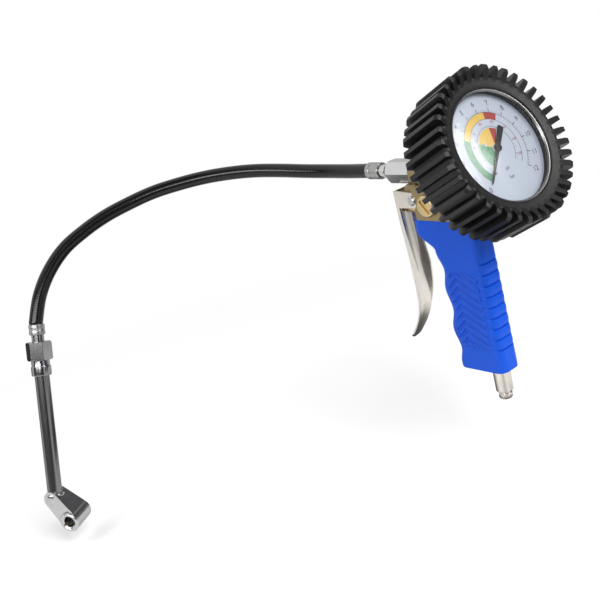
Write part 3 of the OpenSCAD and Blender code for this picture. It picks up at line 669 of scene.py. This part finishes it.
class InflatorGrip(bpy.types.Operator):
    """Lofts the moulded grip with its swells, grooves and chevrons"""
    bl_idname = "inflator.grip"
    bl_label = "Grip"

    def measure(self):
        """Takes the grip's sizes from the settings, in millimetres."""
        size = sizes()
        self.width = size.grip_width / MM
        self.pitch = size.groove_pitch / MM
        self.depth = size.groove_depth / MM
        self.fold_pitch = size.chevron_pitch / MM
        self.rise = size.chevron_rise / MM

    def rows(self):
        """Heights of the rings, close together at the edges of the grooves."""
        rim = [GRIP_EDGE * part for part in EDGE_RINGS]
        heights = [GRIP_LOW + z for z in rim]
        heights += spread(GRIP_LOW + EDGE_GAP, GROOVE_LOW - FOOT_GAP, FOOT_RINGS)
        block = spread(GROOVE_END + BLOCK_GAP, self.pitch - BLOCK_GAP, BLOCK_RINGS)
        for k in range(GROOVES):
            start = GROOVE_LOW + k * self.pitch
            heights += [start + step for step in (*GROOVE_RINGS, *block)]
        heights += spread(GROOVE_LOW + GROOVES * self.pitch, GRIP_TOP - EDGE_GAP, HEAD_RINGS)
        return heights + [GRIP_TOP - z for z in reversed(rim)]

    def groove(self, z):
        """Depth of the back at height z: 1 in a groove, a little below 0 on the crown of a block."""
        k, step = divmod(z - GROOVE_LOW, self.pitch)
        if not 0 <= k < GROOVES:
            return 0
        crown = math.sin(math.pi * ease(GROOVE_END, self.pitch, step)) if k < GROOVES - 1 else 0
        inside = ease(0, GROOVE_SLOPE, step) * (1 - ease(GROOVE_FLOOR, GROOVE_END, step))
        return inside - BLOCK_CROWN * crown

    def chevron(self, x, z, front):
        """Height of the chevrons at a place on the side, from 0 to 1."""
        back_slope, front_slope = CHEVRON_SLOPES
        drop = max((CHEVRON_X - x) * back_slope, (x - CHEVRON_X) * front_slope)
        fold = 0.5 + 0.5 * math.cos(2 * math.pi * (z + drop) / self.fold_pitch)
        front_edge = [front - gap for gap in CHEVRON_FRONT_GAP]
        along = ease(*CHEVRON_BACK, x) * (1 - ease(*front_edge, x))
        up = ease(*CHEVRON_FOOT, z) * (1 - ease(*CHEVRON_HEAD, z))
        return along * up * ease(*CHEVRON_FLANK, fold)

    def back_corner(self, z, back, half_width, dent):
        """Round the back corner at height z, with the groove's dent and the mould line."""
        seam = SEAM_DEPTH * ease(*SEAM_FOOT, z) * (1 - ease(*SEAM_HEAD, z))
        corner = []
        for a in spread(0, math.pi / 2, BACK_ROUND_CORNERS):
            turn = math.degrees(a)
            line = seam * ease(*SEAM_RISE_TURN, turn) * (1 - ease(*SEAM_FALL_TURN, turn))
            back_dent = dent * ease(*BACK_DENT_TURN, turn)
            side_dent = dent * ease(*SIDE_DENT_TURN, turn) * SIDE_DENT_PART
            x = back + GRIP_BACK_R * (1 - math.sin(a)) + back_dent + line * math.sin(a)
            y = half_width - GRIP_BACK_R * (1 - math.cos(a)) - side_dent - line * math.cos(a)
            corner.append((x, y))
        return corner

    def half(self, z):
        """Left half of the ring at height z, from the middle of the front to that of the back."""
        near = min(z - GRIP_LOW, GRIP_TOP - z, GRIP_EDGE) / GRIP_EDGE
        cut = GRIP_EDGE * (1 - math.sqrt(1 - (1 - near) ** 2))
        front = swell(z, GRIP_FRONT) - cut
        back = GRIP_BACK_X - (GRIP_TOP - z) * GRIP_BACK_LEAN + cut
        half_width = self.width / 2 - cut
        dent = self.depth * self.groove(z)
        front_flat = spread(MIDDLE_GAP, half_width - GRIP_FRONT_R - ROUND_GAP, FRONT_CORNERS)
        back_flat = spread(half_width - GRIP_BACK_R - ROUND_GAP, MIDDLE_GAP, BACK_CORNERS)
        side = spread(front - GRIP_FRONT_R - ROUND_GAP, back + GRIP_BACK_R + ROUND_GAP, SIDE_CORNERS)
        ring = [(front, y) for y in front_flat]
        for a in spread(0, math.pi / 2, FRONT_ROUND_CORNERS):
            x = front - GRIP_FRONT_R * (1 - math.cos(a))
            y = half_width - GRIP_FRONT_R * (1 - math.sin(a))
            ring.append((x, y))
        ring += [(x, half_width + self.rise * self.chevron(x, z, front)) for x in side]
        ring += self.back_corner(z, back, half_width, dent)
        return ring + [(back + dent, y) for y in back_flat]

    def execute(self, context):
        self.measure()
        heights = self.rows()
        rings = []
        for z in heights:
            left = self.half(z)
            right = [(x, -y) for x, y in reversed(left)]
            rings.append([Vector((x, y, z)) for x, y in left + right])
        hole = [Vector((p.x, p.y, 0)).normalized() * TUBE_HOLE for p in rings[len(rings) // 2]]
        for z in (heights[0], heights[-1]):
            rings.append([Vector((p.x, p.y, z)) for p in hole])
        last = len(heights) - 1
        joined = [(i, i + 1) for i in range(last)]
        joined += [(last + 1, 0), (last, last + 2), (last + 2, last + 1)]
        faces = []
        for a, b in joined:
            faces += ring_faces(a, b, len(hole))
        corners = [p * MM for ring in rings for p in ring]
        grip = add_mesh("moulded_grip", corners, faces, plastic(colours()))
        grip.modifiers.new("edges", "EDGE_SPLIT").split_angle = GRIP_SPLIT_ANGLE
        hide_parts("grip")
        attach(grip, BODY)
        return {"FINISHED"}


def dial_way(value):
    """Direction on the dial, from its middle, of a place on its scale."""
    turn = DIAL_START - sizes().dial_sweep * value
    return Vector((math.cos(turn), math.sin(turn), 0))


class InflatorDial(bpy.types.Operator):
    """Prints the scale, its coloured bands and its numbers on the dial"""
    bl_idname = "inflator.dial"
    bl_label = "Dial print"

    def keep(self, obj):
        """Fixes a printed mark to the gun."""
        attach(obj, BODY)

    def spot(self, way, lift):
        """Point in the scene of a place on the dial, a little above its face."""
        return gauge_frame() @ (MM * (way + Vector((0, 0, DIAL_FACE + lift))))

    def band(self, name, r0, r1, a, b, color, lift=BAND_LIFT):
        """A flat ring sector on the dial's face, between two scale values."""
        steps = max(LEAST_STEPS, int(abs(b - a) * SCALE_STEPS))
        corners = []
        for value in spread(a, b, steps + 1):
            corners += [self.spot(r * dial_way(value), lift) for r in (r0, r1)]
        faces = [(2 * i, 2 * i + 1, 2 * i + 3, 2 * i + 2) for i in range(steps)]
        ink = paint(name + "_print", color, rough=0.45)
        self.keep(add_mesh(name, corners, faces, ink, smooth=False))

    def ticks(self, name, marks, color):
        """Short radial strokes, each with its value, radii and width."""
        corners, faces = [], []
        for value, r0, r1, width in marks:
            way = dial_way(value)
            side = Vector((-way.y, way.x, 0)) * width / 2
            base = len(corners)
            for p in (way * r0 - side, way * r1 - side, way * r1 + side, way * r0 + side):
                corners.append(self.spot(p, INK_LIFT))
            faces.append((base, base + 1, base + 2, base + 3))
        self.keep(add_mesh(name, corners, faces, paint(name + "_print", color), smooth=False))

    def words(self, name, items, size, color):
        """Small upright lettering, each with its text and place on the dial."""
        mesh = bmesh.new()
        for text, x, y in items:
            curve = bpy.data.curves.new(name, "FONT")
            curve.body = text
            curve.size = size * MM
            curve.align_x = "CENTER"
            curve.align_y = "CENTER"
            holder = bpy.data.objects.new(name, curve)
            flat = bpy.data.meshes.new_from_object(holder)
            flat.transform(gauge_frame() @ Matrix.Translation(Vector((x, y, DIAL_FACE + INK_LIFT)) * MM))
            mesh.from_mesh(flat)
            bpy.data.objects.remove(holder)
            bpy.data.curves.remove(curve)
            bpy.data.meshes.remove(flat)
        data = bpy.data.meshes.new(name)
        mesh.to_mesh(data)
        mesh.free()
        data.materials.append(paint(name + "_print", color))
        obj = bpy.data.objects.new(name, data)
        bpy.context.scene.collection.objects.link(obj)
        self.keep(obj)

    def numbers(self, name, values, top, r, size, color):
        """The scale's numbers, on a circle of this radius."""
        ways = [dial_way(value / top) * r for value in values]
        self.words(name, [(str(value), way.x, way.y) for value, way in zip(values, ways)], size, color)

    def execute(self, context):
        tones = colours()
        black = tuple(tones.print_black)
        top = sizes().dial_top
        for ring, r0, r1 in BANDS:
            for zone, a, b in ZONES:
                self.band(f"{ring}_{zone}", r0, r1, a, b, tuple(getattr(tones, zone)))
        for name, r, half_width in SCALE_LINES:
            self.band(name, r - half_width, r + half_width, 0.0, 1.0, black, LINE_LIFT)
        fine = top * MINOR_TICKS
        marks = [(i / fine, *(MINOR_TICK if i % MINOR_TICKS else MAJOR_TICK)) for i in range(fine + 1)]
        for i in range(INNER_TICKS + 1):
            marks.append((i / INNER_TICKS, *(INNER_SHORT_TICK if i % 2 else INNER_TICK)))
        self.ticks("scale_ticks", marks, black)
        self.numbers("scale_numbers", range(top + 1), top, NUMBERS_R, NUMBERS_SIZE, black)
        self.numbers("inner_numbers", range(0, INNER_TOP, INNER_STEP), INNER_TOP, INNER_NUMBERS_R,
                     INNER_NUMBERS_SIZE, tuple(tones.red))
        self.words("scale_units", UNITS, UNITS_SIZE, black)
        return {"FINISHED"}


class InflatorGauge(bpy.types.Operator):
    """Finishes the boot, case, bezel, lens, dial and pointer"""
    bl_idname = "inflator.gauge"
    bl_label = "Gauge"

    def execute(self, context):
        tones = colours()
        dress(moulded_rubber(tones), "gauge_boot", bevel=0.35)
        dress(paint("case_paint", CASE_BLACK), "gauge_case")
        # Painted shade: the bezel's chrome is darkened to 0.4 of the chrome tone, standing for dark
        # reflections round its ring
        dress(metal("bezel_plating", shade(tones.chrome, 0.4), rough=0.26), "bezel")
        dress(clear_lens(), "lens")
        dress(paint("dial_face", tuple(tones.dial), rough=0.5, mottle=0.03), "dial_plate")
        dress(paint("pointer_paint", POINTER_BLACK, rough=0.55), "pointer", bevel=0.1)
        dress(moulded_rubber(tones, "gasket_rubber"), "lens_gasket", "stem_seal")
        brass = metal("movement_brass", tuple(tones.brass), rough=0.28)
        dress(brass, "gauge_stem", bevel=0.3)
        dress(brass, "dial_posts", "bourdon_tube", "sector_gear", "back_plate", "front_plate",
              "movement_pillars")
        steel = metal("movement_steel", tuple(tones.steel), rough=0.22)
        dress(steel, "dial_screws", "stop_pin", "tip_link", "pointer_shaft", "hairspring")
        return {"FINISHED"}


class InflatorValve(bpy.types.Operator):
    """Finishes the valve body, lever, plunger and inlet"""
    bl_idname = "inflator.valve"
    bl_label = "Valve and lever"

    def execute(self, context):
        tones = colours()
        # Painted shade: the valve body's brass is darkened to 0.42 of the brass tone, for the shadow the
        # boot casts over the body
        body = metal("body_brass", shade(tones.brass, 0.42), rough=0.34, dull=0.3)
        brass = metal("valve_brass", shade(tones.brass, 0.8), rough=0.22)
        # Painted light: the lever's nickel is lightened to 1.25 of the nickel tone, standing for bright
        # reflections on it
        sheet = metal("lever_plating", shade(tones.nickel, 1.25), rough=0.16, grain=LEVER_GRAIN,
                      waves=LEVER_WAVES)
        bright = metal("adaptor_plating", shade(tones.chrome, 1.2), rough=0.165, depth=0.08)
        # Painted light: the inlet nipple's nickel is lightened to 1.35 of the nickel tone, standing for
        # bright reflections on it
        nickel = metal("nipple_plating", shade(tones.nickel, 1.35), rough=0.26)
        steel = metal("pin_steel", tuple(tones.steel), rough=0.24)
        dress(body, "valve_body", bevel=0.6)
        dress(brass, "side_plug", "plunger_gland", "plunger", bevel=0.25)
        dress(sheet, "lever", bevel=0.5)
        dress(bright, "hose_adaptor", bevel=0.3)
        dress(nickel, "inlet_nipple", bevel=0.15)
        dress(steel, "pivot_pin", bevel=0.2)
        dress(steel, "air_tube", "valve_spring")
        dress(moulded_rubber(tones, "seal_rubber"), "inlet_seal", "side_plug_seal", "plunger_seal",
              "valve_disc", "adaptor_seal")
        return {"FINISHED"}


class InflatorChuck(bpy.types.Operator):
    """Finishes the ferrules, coupling, tube and dual-foot head"""
    bl_idname = "inflator.chuck"
    bl_label = "Chuck"

    def execute(self, context):
        tones = colours()
        crimped = metal("ferrule_steel", shade(tones.steel, 0.75), rough=0.26)
        # Painted shade: the coupling's chrome is darkened to 0.6 of the chrome tone, standing for dark
        # reflections in its facets
        smooth = metal("coupling_plating", shade(tones.chrome, 0.6), rough=0.15, depth=0.02)
        dress(crimped, "front_ferrule", "rear_ferrule", bevel=0.15)
        dress(smooth, "hose_coupling", "coupling_collar", bevel=0.3)
        # Painted shade: the chuck tube's chrome is darkened to 0.42 of the chrome tone, standing for
        # dark reflections along it
        dress(metal("tube_plating", shade(tones.chrome, 0.42), rough=0.14), "chuck_tube")
        dress(metal("head_plating", tuple(tones.chrome), rough=0.16), "chuck_head", bevel=0.4)
        dress(moulded_rubber(tones, "port_rubber"), "near_port_seal", "far_port_seal")
        brass = metal("depressor_brass", tuple(tones.brass), rough=0.25)
        dress(brass, "near_depressor", "far_depressor")
        return {"FINISHED"}


class InflatorStage(bpy.types.Operator):
    """Sets the camera, floor, backdrop and soft studio light"""
    bl_idname = "inflator.stage"
    bl_label = "Stage"

    def camera(self, context):
        """The camera, placed and turned as for the photo."""
        lens = bpy.data.cameras.new("camera")
        lens.lens = CAMERA_LENS
        lens.sensor_width = CAMERA_SENSOR
        lens.clip_start = CAMERA_NEAR
        eye = bpy.data.objects.new("camera", lens)
        turn = Matrix((CAMERA_RIGHT, CAMERA_UP, CAMERA_RIGHT.cross(CAMERA_UP))).transposed().to_4x4()
        eye.matrix_world = Matrix.Translation(CAMERA_PLACE) @ turn
        context.scene.collection.objects.link(eye)
        context.scene.camera = eye

    def card(self, name, place, aim, size, material):
        """A flat card, used as floor or flag."""
        way = Vector(aim) - Vector(place)
        turn = Matrix.Translation(place) @ way.to_track_quat("Z", "Y").to_matrix().to_4x4()
        w, h = size[0] / 2, size[1] / 2
        corners = [turn @ Vector(p) for p in ((-w, -h, 0), (w, -h, 0), (w, h, 0), (-w, h, 0))]
        obj = add_mesh(name, corners, [(0, 1, 2, 3)], material, smooth=False)
        return obj

    def flags(self):
        """Dark cards that only reflections see."""
        cloth = paint("flag_cloth", FLAG_GREY, rough=0.9, mottle=0.05)
        for name, place, aim, size in FLAGS:
            card = self.card(name, place, aim, size, cloth)
            for ray in FLAG_MISSED_BY:
                setattr(card, f"visible_{ray}", False)

    def lamps(self, context):
        """Soft lamps round the object."""
        for name, place, aim, size, power, missed_by in LAMPS:
            data = bpy.data.lights.new(name, "AREA")
            data.shape = "RECTANGLE"
            data.size, data.size_y = size
            data.energy = power
            obj = bpy.data.objects.new(name, data)
            way = Vector(aim) - Vector(place)
            turn = way.to_track_quat("-Z", "Y").to_matrix().to_4x4()
            obj.matrix_world = Matrix.Translation(place) @ turn
            context.scene.collection.objects.link(obj)
            if missed_by:
                setattr(obj, f"visible_{missed_by}", False)

    def backdrop(self, context):
        """A white world for the camera and reflections, dimmer as a light on the object."""
        world = bpy.data.worlds.new("studio")
        context.scene.world = world
        world.use_nodes = True
        studio = Nodes(world.node_tree)
        rays = studio.node("LightPath", output="Is Camera Ray")
        seen = rays.at_least(rays.output("Is Glossy Ray"))
        seen = seen.at_least(rays.output("Is Transmission Ray"))
        strength = WORLD_LIGHT + (1 - WORLD_LIGHT) * seen
        studio.close("OutputWorld", studio.node("Background", Color=WHITE, Strength=strength))

    def execute(self, context):
        self.camera(context)
        context.scene.view_settings.view_transform = "Standard"
        self.card("floor", FLOOR_PLACE, FLOOR_AIM, FLOOR_SIZE, floor_paper())
        self.flags()
        self.lamps(context)
        self.backdrop(context)
        return {"FINISHED"}


PIECES = (
    InflatorStage, InflatorHose, InflatorGrip, InflatorDial, InflatorGauge, InflatorValve, InflatorChuck,
)


class InflatorPanel(bpy.types.Panel):
    """Lists the steps that dress the inflator"""
    bl_idname = "VIEW3D_PT_inflator"
    bl_label = "Tyre inflator"
    bl_space_type = "VIEW_3D"
    bl_region_type = "UI"
    bl_category = "Inflator"

    def draw(self, context):
        for piece in PIECES:
            self.layout.operator(piece.bl_idname)
        for group in (context.scene.inflator_sizes, context.scene.inflator_colours):
            for name in group.bl_rna.properties.keys():
                if name not in {"rna_type", "name"}:
                    self.layout.prop(group, name)


CLASSES = (InflatorSizes, InflatorColours, *PIECES, InflatorPanel)


def register():
    """Adds the classes and settings to Blender."""
    for item in CLASSES:
        bpy.utils.register_class(item)
    bpy.types.Scene.inflator_sizes = bpy.props.PointerProperty(type=InflatorSizes)
    bpy.types.Scene.inflator_colours = bpy.props.PointerProperty(type=InflatorColours)


def unregister():
    """Takes them out again."""
    del bpy.types.Scene.inflator_colours
    del bpy.types.Scene.inflator_sizes
    for item in reversed(CLASSES):
        bpy.utils.unregister_class(item)


def main():
    """Makes the pieces in order."""
    register()
    bpy.ops.inflator.stage()
    bpy.ops.inflator.hose()
    bpy.ops.inflator.grip()
    bpy.ops.inflator.dial()
    bpy.ops.inflator.gauge()
    bpy.ops.inflator.valve()
    bpy.ops.inflator.chuck()


if __name__ == "__main__":
    main()
